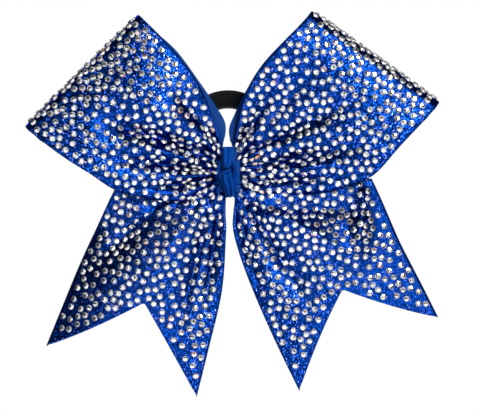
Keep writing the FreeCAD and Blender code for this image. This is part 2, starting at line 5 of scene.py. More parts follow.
import bpy
import numpy as np
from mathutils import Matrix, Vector


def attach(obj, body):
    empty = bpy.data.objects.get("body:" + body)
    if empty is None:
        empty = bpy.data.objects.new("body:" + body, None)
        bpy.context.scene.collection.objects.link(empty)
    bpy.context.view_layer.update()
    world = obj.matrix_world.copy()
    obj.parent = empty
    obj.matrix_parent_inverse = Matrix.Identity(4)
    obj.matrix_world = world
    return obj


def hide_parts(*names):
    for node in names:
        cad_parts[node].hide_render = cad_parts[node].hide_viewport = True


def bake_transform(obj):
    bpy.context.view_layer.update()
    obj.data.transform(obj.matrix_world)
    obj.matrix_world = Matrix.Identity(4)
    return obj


# Cheer hair bow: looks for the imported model. X runs to the right across the bow, Z up, and its front
# faces -Y. Lengths are in millimetres and are scaled by MM, apart from those of the stage, which are in
# metres.

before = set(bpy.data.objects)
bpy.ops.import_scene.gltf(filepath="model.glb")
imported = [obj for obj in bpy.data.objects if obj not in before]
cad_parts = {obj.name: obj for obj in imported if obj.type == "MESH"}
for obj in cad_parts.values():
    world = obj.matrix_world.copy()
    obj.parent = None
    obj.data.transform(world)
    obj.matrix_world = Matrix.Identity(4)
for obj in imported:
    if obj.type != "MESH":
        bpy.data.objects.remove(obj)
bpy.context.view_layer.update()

MM = 0.001

# The ribbon: a glitter face laminated to a grosgrain backing, which shows past the face's edges.
RIBBON_WIDTH = 76.2
RIBBON_THICK = 0.8
GLITTER_THICK = 0.25
GLITTER_MARGIN = 0.4
LAYER_GAP = 0.02
FLAT_UNIT = 100.0  # millimetres of flat ribbon in one unit of UV
CREASE_DEPTH = 1.75

# How far forward of the origin the loops' and tails' faces are.
LOOP_FRONT = 27.5
LOOP_BACK = 8.8
ROLL_RADIUS = (LOOP_FRONT - LOOP_BACK) / 2
ROLL_MIDDLE = (LOOP_FRONT + LOOP_BACK) / 2
NECK_FRONT = 12.6
TAIL_DEPTH = 11.2
TAIL_CROWN = 3.0

# Rows and columns of the panels' grids.
LOOP_FRONT_ROWS = 96
LOOP_ROLL_ROWS = 18
LOOP_BACK_ROWS = 72
LOOP_COLS = 84
TAIL_ROWS = 100
TAIL_COLS = 85

# The stones, and how far apart their middles are.
STONE_RADIUS = 1.55
STONE_SIDES = 12
GIRDLE_HEIGHT = 0.25
CROWN_HEIGHT = 1.12
TABLE_HEIGHT = 1.2
TABLE_RADIUS = 0.92
TABLE_SHIFT = 0.26  # the most that a stone's table is off the stone's middle
STONE_SPACING = 3.6
STONE_CROWD = 3.1  # where they are pressed together, on the roll and by the knot
STONE_EDGE = 2.6  # from the ribbon's edges
STONE_LEAN = 0.05
STONE_GLUE = 0.02
STONE_TRIES = 14000

# How bright the stones' facets are, and how like a mirror. Some crown facets are darkened as painted dark
# reflections, and some stones get painted coloured flashes.
TABLE_BRIGHT = (0.6, 1.0)
CROWN_BRIGHT = (0.55, 1.0)
CROWN_MIRROR = (0.2, 0.6)
# painted dark reflections: how bright a darkened crown facet is, and the share of crown facets that get one
PAINTED_DARK_REFLECTION = (0.06, 0.4)
PAINTED_DARK_REFLECTION_SHARE = 0.2
SIDE_COLOUR = (0.16, 0.19, 0.26)
SIDE_MIRROR = 0.3
# painted coloured flashes: the share of stones that get one, the share of their crown facets that show it,
# and its colours
PAINTED_FLASH_STONES = 0.3
PAINTED_FLASH_FACETS = 0.16
PAINTED_FLASHES = ((1.0, 0.25, 0.12), (1.0, 0.6, 0.75), (0.75, 0.8, 1.0), (0.9, 0.85, 0.5), (0.6, 0.95, 0.9))

# The loops' edges in X and Z, from the knot to the line where the outer roll starts, and back again.
# A crease has its near and far ends in X and Z, its width and its depth. A negative depth is a ridge.
LOOPS = {
    "left": {
        "front_low": [
            (-3.2, -10.6), (-15.5, -13.2), (-27.0, -14.4), (-38.0, -13.2), (-53.7, -9.0), (-65.5, -1.4),
            (-78.5, 6.6), (-91.3, 15.4)],
        "front_high": [
            (-2.9, 11.6), (-5.1, 20.2), (-10.3, 34.9), (-17.7, 48.1), (-27.9, 60.6), (-36.7, 69.4)],
        "back_low": [(-91.3, 15.4), (-78.0, 8.0), (-64.0, 0.0), (-50.0, -8.5), (-28.0, -11.5), (-3.5, -9.0)],
        "back_high": [(-36.7, 69.4), (-25.0, 58.9), (-14.4, 44.6), (-6.6, 33.0), (-1.4, 23.4), (-2.6, 12.0)],
        "outward": (-0.703, 0.711),
        "top_curl": 1.2,  # how far the top edge curls back
        "early": 0.25,  # the share of the roll's half turn that comes before its fold line
        "rise": 0.62,  # where along the front it has come fully forward
        "rise_power": 1.0,
        "crown": 1.4,  # how far the middle swells between the edges
        "length": 203.0,
        "creases": [
            ((-9.0, 9.6), (-66.0, 26.0), 5.0, 5.2),
            ((-6.0, 1.0), (-62.0, 7.0), 4.6, 4.4),
            ((-8.0, -3.2), (-52.0, -9.5), 3.4, 3.4),
            ((-6.0, 14.0), (-26.0, 40.0), 3.2, 2.4),
            ((-14.0, 18.0), (-64.0, 50.0), 15.0, -1.0),
            ((-14.0, 5.6), (-50.0, 14.5), 4.4, -2.4),
        ],
    },
    "right": {
        "front_low": [
            (3.4, -8.0), (16.8, -10.4), (32.2, -11.6), (46.0, -10.2), (58.0, -6.8), (70.0, -1.6),
            (83.0, 12.6), (96.5, 26.2)],
        "front_high": [(3.2, 11.6), (3.9, 19.2), (6.4, 31.4), (10.6, 41.8), (18.0, 53.2), (35.0, 70.1)],
        "back_low": [(96.5, 26.2), (83.0, 13.5), (70.0, 0.5), (54.0, -6.5), (30.0, -10.0), (3.5, -7.5)],
        "back_high": [(35.0, 70.1), (17.0, 52.4), (9.0, 40.0), (3.4, 28.6), (0.6, 20.4), (2.8, 12.0)],
        "outward": (0.581, 0.814),
        "top_curl": -2.5,
        "early": 0.2,
        "rise": 1.0,
        "rise_power": 1.8,
        "crown": 1.2,
        "length": 210.0,
        "creases": [
            ((8.0, 9.0), (58.0, 33.0), 4.6, 3.6),
            ((6.0, 3.0), (66.0, 12.0), 4.4, 4.4),
            ((8.0, -3.0), (58.0, -4.5), 3.2, 3.4),
            ((6.0, 13.0), (24.0, 44.0), 3.4, 2.6),
            ((14.0, 18.0), (50.0, 58.0), 12.0, 2.0),
            ((16.0, 0.6), (56.0, 3.4), 4.2, -2.2),
        ],
    },
}
# Near the knot the loops' low edge curls back this far, over this share of the ribbon's width.
LOW_CURL = 5.0
LOW_CURL_SHARE = 0.13

# The tails' edges from under the loops to their tips, and the notch: where it sits and how deep it is.
TAILS = {
    "left": {
        "outer": [
            (-54.6, -7.6), (-59.4, -17.0), (-66.6, -31.7), (-72.2, -43.9), (-77.6, -56.8), (-88.9, -84.6)],
        "inner": [(-1.2, -9.8), (-1.6, -20.0), (-1.1, -31.1), (-2.9, -57.6), (-9.5, -86.3), (-15.2, -109.0)],
        "notch_at": 0.51,
        "notch_deep": 0.385,
        "outer_curl": 9.0,  # how far the outer edge curls back
        "length": 100.0,
        "creases": [
            ((-7.0, -12.0), (-26.0, -82.0), 3.6, 2.2),
            ((-4.0, -14.0), (-12.0, -72.0), 3.6, 2.4),
            ((-24.0, -8.0), (-72.0, -50.0), 6.0, 3.0),
            ((-12.0, -10.0), (-44.0, -62.0), 13.0, -1.8),
            ((-22.0, -12.0), (-56.0, -28.0), 4.0, -2.0),
        ],
    },
    "right": {
        "outer": [(69.6, -3.0), (75.0, -14.4), (83.1, -33.0), (88.6, -43.9), (94.5, -55.3), (102.1, -70.5)],
        "inner": [(3.0, -9.0), (3.0, -18.0), (3.2, -31.1), (11.6, -56.1), (22.4, -81.0), (34.6, -106.2)],
        "notch_at": 0.47,
        "notch_deep": 0.385,
        "outer_curl": 1.5,
        "length": 100.0,
        "creases": [
            ((8.0, -12.0), (40.0, -66.0), 5.0, 2.8),
            ((4.0, -14.0), (16.0, -62.0), 3.4, 2.4),
            ((2.0, -17.0), (88.0, -19.0), 6.0, 2.2),
            ((14.0, -14.0), (66.0, -44.0), 7.0, -2.6),
            ((66.0, -4.0), (62.0, -46.0), 3.6, -3.0),
        ],
    },
}
OUTER_CURL_SHARE = 0.42  # the share of a tail's width that its outer curl takes

# The knot's tongues of folded ribbon: a middle line in X and Z, half widths and forward swells along
# it, how far forward its edges are, and folds. A fold has its place across, its drift, its width and
# its height.
KNOT = {
    "knot_lower": {
        "spine": [(-1.0, 0.8), (-0.6, -3.6), (0.4, -7.6), (1.1, -12.0)],
        "widths": [2.4, 3.3, 2.6, 1.7],
        "swells": [4.0, 5.0, 3.2, 0.2],
        "back": 15.3,
        "folds": [
            (-0.5, 0.2, 0.12, -1.6), (-0.2, 0.1, 0.12, 1.4), (0.12, 0.0, 0.1, -1.8),
            (0.42, -0.1, 0.12, 1.2), (0.7, -0.1, 0.1, -0.8)],
    },
    "knot_left_flank": {
        "spine": [(-2.4, 7.0), (-3.9, 2.0), (-4.2, -3.0), (-2.6, -9.0)],
        "widths": [0.8, 1.3, 1.3, 0.6],
        "swells": [0.6, 1.1, 0.9, 0.1],
        "back": 14.0,
        "folds": [(0.1, 0.2, 0.2, -0.9)],
    },
    "knot_right_flank": {
        "spine": [(1.2, 6.8), (3.0, 3.6), (3.9, -1.0), (3.4, -6.0), (2.6, -10.5)],
        "widths": [0.9, 1.2, 1.2, 1.0, 0.6],
        "swells": [5.0, 4.6, 3.0, 1.6, 0.2],
        "back": 15.0,
        "folds": [(-0.1, 0.3, 0.2, -1.2)],
    },
    "knot_crossing": {
        "spine": [(-4.0, -3.6), (-3.2, -1.2), (-1.0, 0.1), (1.5, 1.5)],
        "widths": [0.8, 1.1, 1.1, 0.6],
        "swells": [3.0, 5.6, 7.2, 5.6],
        "back": 15.4,
        "folds": [(0.0, 0.3, 0.2, -0.8)],
    },
    "knot_upper": {
        "spine": [(0.2, 12.3), (0.3, 9.0), (0.0, 5.4), (-0.6, 1.9)],
        "widths": [2.7, 3.1, 3.0, 1.7],
        "swells": [0.9, 3.8, 6.4, 6.2],
        "back": 15.3,
        "folds": [
            (-0.4, 0.2, 0.14, 1.0), (-0.1, -0.1, 0.1, -1.3), (0.35, -0.3, 0.14, 1.0),
            (0.68, -0.2, 0.1, -1.0)],
    },
}
TONGUE_ROWS = 56
TONGUE_COLS = 44
TONGUE_TURN = 98  # degrees that a tongue's section turns to each side of its middle
TONGUE_THICK = 0.5

# The wrap: a rounded rectangle in the YZ plane.
BAND_HALF_DEPTH = 7.8
BAND_HALF_HEIGHT = 12.25
BAND_CORNER = 5.0
BAND_HALF_WIDTH = 4.2
BAND_FRONT_PINCH = 0.8  # how much less half its width is at the front
BAND_LOW_PINCH = 0.36  # the share of it that is lost under the knot
BAND_THICK = 0.6
BAND_FOLD = 0.45  # how deep the folds that run round it are
BAND_FOLD_TURN = 10.5  # radians of fold from its middle to its edge
BAND_HEM = 0.4  # how far its edges turn in
BAND_HEM_FROM = 0.93
BAND_ROWS = 160
BAND_COLS = 41
BAND_DRIFT = 1.1  # how far it runs to the right under the knot

# The gather that the wrap holds, and its pleats.
GATHER_HALF_WIDTH = 5.9
GATHER_HALF_DEPTH = 3.1
GATHER_HALF_HEIGHT = 10.4
GATHER_MIDDLE = 11.0  # how far forward its middle is
GATHER_PLEATS = 18
GATHER_PLEAT_DEPTH = 0.5
GATHER_HOLLOW = 0.7
GATHER_ROWS = 160
GATHER_COLS = 9

# The hair elastic: a ring whose lowest part runs straight through the wrap and turns up at two corners.
ELASTIC_STRAIGHT = 8.5  # half the straight part's length
ELASTIC_CORNER = 7.0
ELASTIC_RADIUS = 19.5
ELASTIC_HALF_WIDE = 4.3
ELASTIC_HALF_DEEP = 3.2
ELASTIC_SQUEEZED = 2.8  # its radius inside the wrap
ELASTIC_BOXY = 0.38  # 0 gives its loose part a round section
ELASTIC_RIBS = 7  # in half a turn round its section
ELASTIC_RIB_DEPTH = 0.3
ELASTIC_RIB_DROP = 0.2
ELASTIC_SIDES = 64
ELASTIC_LEAN = 10  # degrees
ELASTIC_PLACE = (-3.9, 0.7)  # Y and Z of the straight part
ELASTIC_UNIT = 10.0  # millimetres in one unit of UV

# The scale of the materials' detail, and the floor's tones.
FLAKE_SIZE = 0.42
FLAKE_TILT = 0.34  # how far a glitter flake leans, against a normal's length of 1
BACKING_RIB = 0.8
CENTRE_RIB = 0.6
FLOOR_LIGHT = (0.93, 0.93, 0.93)
FLOOR_SHADE = (0.9114, 0.9114, 0.9114)


# ---------------------------------------------------------------- small helpers

def ease(low, high, value):
    """0 below low, 1 above high, and smooth between."""
    share = np.clip((value - low) / (high - low), 0, 1)
    return share * share * (3 - 2 * share)


def length_so_far(line):
    """How long the line is up to each of its points."""
    return np.concatenate([[0], np.cumsum(np.linalg.norm(np.diff(line, axis=0), axis=1))])


def smooth_rail(points, steps=24):
    """A smooth line through the points: its length so far, and its places."""
    given = np.array(points, float)
    padded = np.vstack([2 * given[0] - given[1], given, 2 * given[-1] - given[-2]])
    fine = []
    for i in range(len(given) - 1):
        a, b, c, d = padded[i:i + 4]
        for u in np.linspace(0, 1, steps, endpoint=False):
            fine.append(b + 0.5 * u * (c - a + u * (2 * a - 5 * b + 4 * c - d + u * (3 * (b - c) + d - a))))
    fine.append(given[-1])
    fine = np.array(fine)
    run = length_so_far(fine)
    return run / run[-1], fine


def along(rail, share):
    """The places on a rail at these shares of its length."""
    run, fine = rail
    return np.stack([np.interp(share, run, fine[:, k]) for k in range(fine.shape[1])], axis=-1)


def between(first, second, share, mix):
    """Places at these shares of two rails' lengths, mixed from the first rail to the second."""
    return along(first, share) * (1 - mix) + along(second, share) * mix


def outward_of(closed_line):
    """The outward direction at each point of a closed line that runs anticlockwise."""
    way = np.roll(closed_line, -1, axis=0) - np.roll(closed_line, 1, axis=0)
    way /= np.linalg.norm(way, axis=1, keepdims=True)
    return np.column_stack([way[:, 1], -way[:, 0]])


def signed_power(value, power):
    """A power of the value's size that keeps its sign."""
    return np.sign(value) * np.abs(value) ** power


def creased(x, z, creases):
    """How far the creases push the ribbon back at each place. Each crease fans out from the knot."""
    push = np.zeros_like(x)
    for near, far, width, depth in creases:
        start = np.array(near)
        run = np.array(far) - start
        reach = np.linalg.norm(run)
        unit = run / reach
        ahead = ((x - start[0]) * unit[0] + (z - start[1]) * unit[1]) / reach
        beside = (x - start[0]) * -unit[1] + (z - start[1]) * unit[0]
        # it widens away from the knot, comes in at its near end and fades towards its far end
        wide = width * (0.35 + 0.9 * np.clip(ahead, 0, 1.2))
        strong = ease(-0.12, 0.22, ahead) * (1 - ease(0.45, 1.1, ahead))
        push += CREASE_DEPTH * depth * strong * np.exp(-np.abs(beside / wide) ** 1.15)
    return push


def gathers(x, z, count, phase, depth, reach):
    """Small pleats that fan out from the knot and fade within reach."""
    turn = np.arctan2(z, np.abs(x) + 1e-6)
    far = np.hypot(x, z)
    return depth * np.sin(turn * count + phase) * ease(3, 9, far) * (1 - ease(0.35 * reach, reach, far))


def add_object(name, data):
    """A new object in the scene."""
    thing = bpy.data.objects.new(name, data)
    bpy.context.scene.collection.objects.link(thing)
    return thing


def ribbon_mesh(name, points, faces, flat, material):
    """A smooth mesh, with each point's place on the flat ribbon as its UV."""
    mesh = bpy.data.meshes.new(name)
    mesh.from_pydata((points * MM).tolist(), [], faces.tolist())
    layer = mesh.uv_layers.new(name="flat")
    corners = np.zeros(len(mesh.loops), np.int64)
    mesh.loops.foreach_get("vertex_index", corners)
    layer.data.foreach_set("uv", flat[corners].astype(np.float32).ravel())
    mesh.materials.append(material)
    mesh.polygons.foreach_set("use_smooth", [True] * len(mesh.polygons))
    mesh.update()
    return mesh


def face_out(mesh, polygon, outward):
    """Turn the mesh's faces round if this one doesn't face outward."""
    if mesh.polygons[polygon].normal.dot(Vector(outward)) < 0:
        mesh.flip_normals()


# ---------------------------------------------------------------- the ribbon's surfaces

def loop_surface(side, s, t):
    """A loop: s from 0 at the knot to 1 at the roll, 2 behind the roll and 3 back at the knot; t goes up."""
    shape = LOOPS[side]
    rails = shape["rails"]
    front = np.clip(s, 0, 1)
    roll = np.clip(s - 1, 0, 1)
    back = np.clip(s - 2, 0, 1)
    mix = t[..., None]
    ahead = between(rails["front_low"], rails["front_high"], front, mix)
    behind = between(rails["back_low"], rails["back_high"], back, mix)
    plan = np.where((s > 1.5)[..., None], behind, ahead)
    # the roll is a half turn, and the front already leads into it before the fold line
    turned = math.pi * np.where(s <= 1, 0, shape["early"] + (1 - shape["early"]) * roll)
    reach = ROLL_RADIUS * np.sin(turned)
    reach = np.where(s <= 1, ROLL_RADIUS * math.sin(math.pi * shape["early"]) * front ** 9, reach)
    plan = plan + np.array(shape["outward"]) * reach[..., None]
    x, z = plan[..., 0], plan[..., 1]
    # the front comes forward from the neck, with a crown, curled edges, creases and pleats
    crown = np.sin(math.pi * front) * (1 - (2 * t - 1) ** 2)
    low_curl = LOW_CURL * np.clip(1 - t / LOW_CURL_SHARE, 0, 1) ** 2 * (1 - ease(0.35, 0.7, front))
    top_curl = shape["top_curl"] * np.clip((t - 0.6) / 0.4, 0, 1) ** 2
    top_curl = top_curl * ease(0.1, 0.4, front) * (1 - ease(0.85, 1, front))
    rise = np.sin(math.pi / 2 * np.clip(front / shape["rise"], 0, 1)) ** shape["rise_power"]
    y_front = -(NECK_FRONT + (LOOP_FRONT - NECK_FRONT) * rise)
    y_front = y_front - shape["crown"] * crown + low_curl + top_curl
    y_front = y_front + creased(x, z, shape["creases"]) * (1 - ease(0.8, 1.0, front))
    y_front = y_front + gathers(x, z, count=17, phase=0.6, depth=1.9, reach=38)
    y_front = y_front + ROLL_RADIUS * (1 - math.cos(math.pi * shape["early"])) * front ** 12
    # the back is nearly flat, with one slow wave
    y_back = -(LOOP_BACK + 0.4) + 0.8 * np.sin(3 * t + 4 * back) * np.sin(math.pi * back)
    y_back = y_back + gathers(x, z, count=15, phase=2.0, depth=0.6, reach=30)
    y_roll = -ROLL_MIDDLE - ROLL_RADIUS * np.cos(turned)
    y = np.where(s <= 1, y_front, np.where(s < 2, y_roll, y_back))
    return np.stack([x, y, z], axis=-1)


def tail_surface(side, s, t):
    """A tail: s from 0 under the loop to 1 at the cut end; t from its outer to its inner edge."""
    shape = TAILS[side]
    at = shape["notch_at"]
    open_share = np.where(t < at, t / at, (1 - t) / (1 - at))
    # blunted a little at the tips and at the notch's point
    notch = shape["notch_deep"] * np.sqrt(open_share ** 2 + 0.0009) * np.clip(open_share / 0.02, 0, 1)
    notch = np.minimum(notch, shape["notch_deep"] * 0.985)
    run = s * (1 - notch)
    plan = between(shape["rails"]["outer"], shape["rails"]["inner"], run, t[..., None])
    x, z = plan[..., 0], plan[..., 1]
    crown = np.sin(math.pi * np.clip(run, 0, 1)) * (1 - (2 * t - 1) ** 2)
    curl = shape["outer_curl"] * np.clip(1 - t / OUTER_CURL_SHARE, 0, 1) ** 2 * ease(0.0, 0.3, run)
    y = -TAIL_DEPTH - TAIL_CROWN * crown + curl
    y = y + creased(x, z, shape["creases"]) * ease(0.0, 0.12, run)
    y = y + gathers(x, z, count=13, phase=1.0, depth=1.1, reach=38)
    return np.stack([x, y, z], axis=-1)


def normals_of(points, front_row):
    """The grid's normals, turned so that the row given faces forward."""
    along_rows = np.gradient(points, axis=0)
    along_cols = np.gradient(points, axis=1)
    normal = np.cross(along_rows, along_cols)
    normal /= np.maximum(np.linalg.norm(normal, axis=-1, keepdims=True), 1e-9)
    if normal[front_row].mean(axis=0)[1] > 0:
        normal = -normal
    return normal


def grid_piece(name, layers, flat, material, closed=False):
    """A closed thin solid between two grids of points. A closed grid's last row joins its first."""
    outer, inner = layers
    rows, cols = outer.shape[:2]
    count = rows * cols
    index = np.arange(count).reshape(rows, cols)
    if closed:
        index = np.vstack([index, index[:1]])
    a, b, c, d = index[:-1, :-1], index[1:, :-1], index[1:, 1:], index[:-1, 1:]
    top = np.stack([a, b, c, d], axis=-1).reshape(-1, 4)
    faces = [top, (top + count)[:, ::-1]]
    rims = [index[:, 0][::-1], index[:, -1]]
    if not closed:
        rims += [index[0], index[-1][::-1]]
    for rim in rims:
        faces.append(np.stack([rim[:-1], rim[1:], rim[1:] + count, rim[:-1] + count], axis=-1))
    outer, inner = outer.reshape(-1, 3), inner.reshape(-1, 3)
    flat = np.concatenate([flat.reshape(-1, 2)] * 2) / FLAT_UNIT
    mesh = ribbon_mesh(name, np.concatenate([outer, inner]), np.concatenate(faces), flat, material)
    corner = index[rows // 3, cols // 2]
    face_out(mesh, (rows // 3) * (cols - 1) + cols // 2, outer[corner] - inner[corner])
    return add_object(name, mesh)


def ribbon_layer(side, part, layer):
    """One layer of a panel's ribbon: its piece, and the points and normals that it is built on."""
    panel = PANELS[part]
    slot, margin, near, far = LAYERS[layer]
    t = np.linspace(margin, 1 - margin, panel["cols"])
    grid_s, grid_t = np.meshgrid(panel["s"], t, indexing="ij")
    points = panel["surface"](side, grid_s, grid_t)
    normal = normals_of(points, panel["front_row"])
    length = panel["shapes"][side]["length"]
    flat = np.stack([grid_s / panel["s"][-1] * length, grid_t * RIBBON_WIDTH], axis=-1)
    solid = (points - normal * near, points - normal * far)
    piece = grid_piece(f"{side}_{part}_{layer}_ribbon", solid, flat, MATERIALS[layer])
    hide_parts(f"{side}_{part}_{layer}")
    return piece, points, normal


# Each layer's slot, its margin as a share of the width, and how deep its front and back are.
LAYERS = {
    "glitter": ("glitter_face", GLITTER_MARGIN / RIBBON_WIDTH, 0.0, GLITTER_THICK),
    "backing": ("backing_ribbon", 0.0, GLITTER_THICK + LAYER_GAP, RIBBON_THICK),
}

# How the loops and tails are made. Rows run along the ribbon and columns across it. Stones stand from
# one row to another, and are pressed together outside the open rows. The bend across the hinge is
# given for the right side.
PANELS = {
    "loop": {
        "shapes": LOOPS,
        "rails": ("front_low", "front_high", "back_low", "back_high"),
        "surface": loop_surface,
        "s": np.concatenate([
            np.linspace(0, 1, LOOP_FRONT_ROWS),
            np.linspace(1, 2, LOOP_ROLL_ROWS)[1:],
            np.linspace(2, 3, LOOP_BACK_ROWS)[1:],
        ]),
        "cols": LOOP_COLS,
        "front_row": 40,
        "stone_rows": (5, LOOP_FRONT_ROWS + 7),  # nearly half way round the roll
        "open_rows": (24, 86),
        "bend": ((4, -11, 2), (20, -11, 2)),
    },
    "tail": {
        "shapes": TAILS,
        "rails": ("outer", "inner"),
        "surface": tail_surface,
        "s": np.linspace(0, 1, TAIL_ROWS),
        "cols": TAIL_COLS,
        "front_row": 50,
        "stone_rows": (2, 93),
        "open_rows": (0, TAIL_ROWS),
        "bend": ((20, -11, -7), (20, -11, -22)),
    },
}


# ---------------------------------------------------------------- stones

def has_neighbour(place, cell, taken, spacing):
    """Whether a stone is already nearer than the spacing. Stones are kept by the cell they stand in."""
    for dx, dy, dz in product((-1, 0, 1), repeat=3):
        for other in taken.get((cell[0] + dx, cell[1] + dy, cell[2] + dz), ()):
            if np.dot(other - place, other - place) < spacing ** 2:
                return True
    return False


def scatter(points, normal, stone_rows, open_rows, chance):
    """Places for stones on the front of a panel: never nearer than the spacing, clear of its edges."""
    cols = points.shape[1]
    taken = {}
    chosen = []
    for attempt in range(STONE_TRIES):
        r = chance.uniform(*stone_rows)
        c = chance.uniform(0, cols - 1.001)
        i, j = int(r), int(c)
        u, v = r - i, c - j
        weights = (
            (i, j, (1 - u) * (1 - v)),
            (i + 1, j, u * (1 - v)),
            (i, j + 1, (1 - u) * v),
            (i + 1, j + 1, u * v),
        )
        place = sum(points[a, b] * w for a, b, w in weights)
        if min(np.linalg.norm(place - points[i, edge]) for edge in (0, cols - 1)) < STONE_EDGE:
            continue
        cell = tuple(np.floor(place / STONE_SPACING).astype(int))
        spacing = STONE_SPACING if open_rows[0] <= r <= open_rows[1] else STONE_CROWD
        if has_neighbour(place, cell, taken, spacing):
            continue
        facing = sum(normal[a, b] * w for a, b, w in weights)
        taken.setdefault(cell, []).append(place)
        chosen.append((place, facing / np.linalg.norm(facing)))
    return chosen


def stone_shape():
    """One cut stone: a flat back, a girdle, crown facets, and a table that rises a little to its middle."""
    rings = (
        (0.0, STONE_RADIUS * 0.95, 0.0),
        (GIRDLE_HEIGHT, STONE_RADIUS, 0.0),
        (CROWN_HEIGHT, TABLE_RADIUS, 0.5),
    )
    sides = STONE_SIDES
    verts = []
    for height, radius, shift in rings:
        for k in range(sides):
            angle = 2 * math.pi * (k + shift) / sides
            verts.append((radius * math.cos(angle), radius * math.sin(angle), height))
    verts.append((0.0, 0.0, TABLE_HEIGHT))
    faces = [tuple(reversed(range(sides)))]
    kinds = ["back"]
    for k in range(sides):
        nxt = (k + 1) % sides
        faces.append((k, nxt, sides + nxt, sides + k))
        faces.append((sides + k, sides + nxt, 2 * sides + k))
        faces.append((sides + nxt, 2 * sides + nxt, 2 * sides + k))
        faces.append((2 * sides + k, 2 * sides + nxt, 3 * sides))
        kinds += ["side", "crown", "crown", "table"]
    return verts, faces, kinds


def facet_look(kind, chance, painted_flash):
    """A facet's colour, and how mirror like it is: tables mirror the studio, crowns glow back white, some
    crowns are darkened as a painted dark reflection, and a few take their stone's painted coloured flash.
    """
    if kind == "table":
        bright = chance.uniform(*TABLE_BRIGHT)
        return (bright * 0.93, bright * 0.96, bright), 1.0
    if kind == "crown":
        bright = chance.uniform(*CROWN_BRIGHT)
        mirror = chance.uniform(*CROWN_MIRROR)
        # some crown facets are darkened as a painted dark reflection
        if chance.random() < PAINTED_DARK_REFLECTION_SHARE:
            bright = chance.uniform(*PAINTED_DARK_REFLECTION)
        # a few crown facets of a flashing stone take its painted coloured flash
        if painted_flash and chance.random() < PAINTED_FLASH_FACETS:
            return painted_flash, mirror
        return (bright, bright * 0.985, bright * 0.97), mirror
    return SIDE_COLOUR, SIDE_MIRROR


def stones_piece(side, part, places, chance):
    """All the stones of one panel as one piece. Each facet has its own look, partly as foil backed glass has,
    partly painted: dark reflections and coloured flashes on some facets.
    """
    shape_verts, shape_faces, kinds = stone_shape()
    verts, faces, colours, mirrors = [], [], [], []
    for place, facing in places:
        lean = Vector([chance.gauss(0, STONE_LEAN) for axis in range(3)])
        up = (Vector(facing) + lean).normalized()
        side_way = up.orthogonal().normalized()
        spin = chance.uniform(0, 2 * math.pi)
        x_way = side_way * math.cos(spin) + up.cross(side_way) * math.sin(spin)
        y_way = up.cross(x_way)
        # the crown's ring and the table are a little off the stone's middle
        shift_x = chance.uniform(-TABLE_SHIFT, TABLE_SHIFT)
        shift_y = chance.uniform(-TABLE_SHIFT, TABLE_SHIFT)
        base = len(verts)
        for x, y, height in shape_verts:
            if height > GIRDLE_HEIGHT:
                x += shift_x
                y += shift_y
            spot = Vector(place) + up * (height + STONE_GLUE) + x_way * x + y_way * y
            verts.append(tuple(spot * MM))
        # some stones get a painted coloured flash
        painted_flash = chance.choice(PAINTED_FLASHES) if chance.random() < PAINTED_FLASH_STONES else None
        for face, kind in zip(shape_faces, kinds):
            faces.append(tuple(base + v for v in face))
            colour, mirror = facet_look(kind, chance, painted_flash)
            colours.append(colour + (1.0,))
            mirrors.append(mirror)
    name = f"{side}_{part}_crystals"
    mesh = bpy.data.meshes.new(name)
    mesh.from_pydata(verts, [], faces)
    facets = mesh.attributes.new("facet", "FLOAT_COLOR", "FACE")
    facets.data.foreach_set("color", np.array(colours, np.float32).ravel())
    mirror_shares = mesh.attributes.new("mirror", "FLOAT", "FACE")
    mirror_shares.data.foreach_set("value", np.array(mirrors, np.float32))
    mesh.materials.append(MATERIALS["stones"])
    mesh.update()
    piece = add_object(name, mesh)
    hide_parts(f"{side}_{part}_stones")
    return piece


# ---------------------------------------------------------------- materials

class Paint:
    """A new node material, and short ways to add to it."""

    def __init__(self, name):
        self.material = bpy.data.materials.new(name)
        self.material.use_nodes = True
        self.tree = self.material.node_tree

    def give(self, node, inputs):
        """Set a node's inputs, or link them where another node's output is given."""
        for socket, value in inputs.items():
            if isinstance(value, bpy.types.NodeSocket):
                self.tree.links.new(value, node.inputs[socket])
            else:
                node.inputs[socket].default_value = value

    def add(self, kind, inputs, **settings):
        """A new node with these settings and inputs."""
        node = self.tree.nodes.new("ShaderNode" + kind)
        for setting, value in settings.items():
            setattr(node, setting, value)
        self.give(node, inputs)
        return node

    def flat_place(self):
        """Where on the flat ribbon this is."""
        return self.add("UVMap", {}, uv_map="flat").outputs["UV"]

    def object_place(self):
        """Where on the object this is."""
        return self.add("TexCoord", {}).outputs["Object"]

    def facet_value(self, name, output):
        """A value that each facet of a stone keeps."""
        return self.add("Attribute", {}, attribute_name=name).outputs[output]

    def ramp(self, amount, stops):
        """A colour by amount, through these stops."""
        node = self.add("ValToRGB", {"Fac": amount})
        elements = node.color_ramp.elements
        while len(elements) < len(stops):
            elements.new(0.5)
        for element, (place, colour) in zip(elements, stops):
            element.position = place
            element.color = tuple(colour) + (1.0,)
        return node.outputs["Color"]

    def vector(self, operation, inputs):
        """The result of a sum with vectors."""
        return self.add("VectorMath", inputs, operation=operation).outputs["Vector"]

    def bump(self, height, strength, distance):
        """The normal of a bumped surface."""
        inputs = {"Height": height, "Strength": strength, "Distance": distance * MM}
        return self.add("Bump", inputs).outputs["Normal"]

    def finished(self, inputs):
        """The material, with these inputs of its main shader."""
        self.give(self.tree.nodes["Principled BSDF"], inputs)
        return self.material


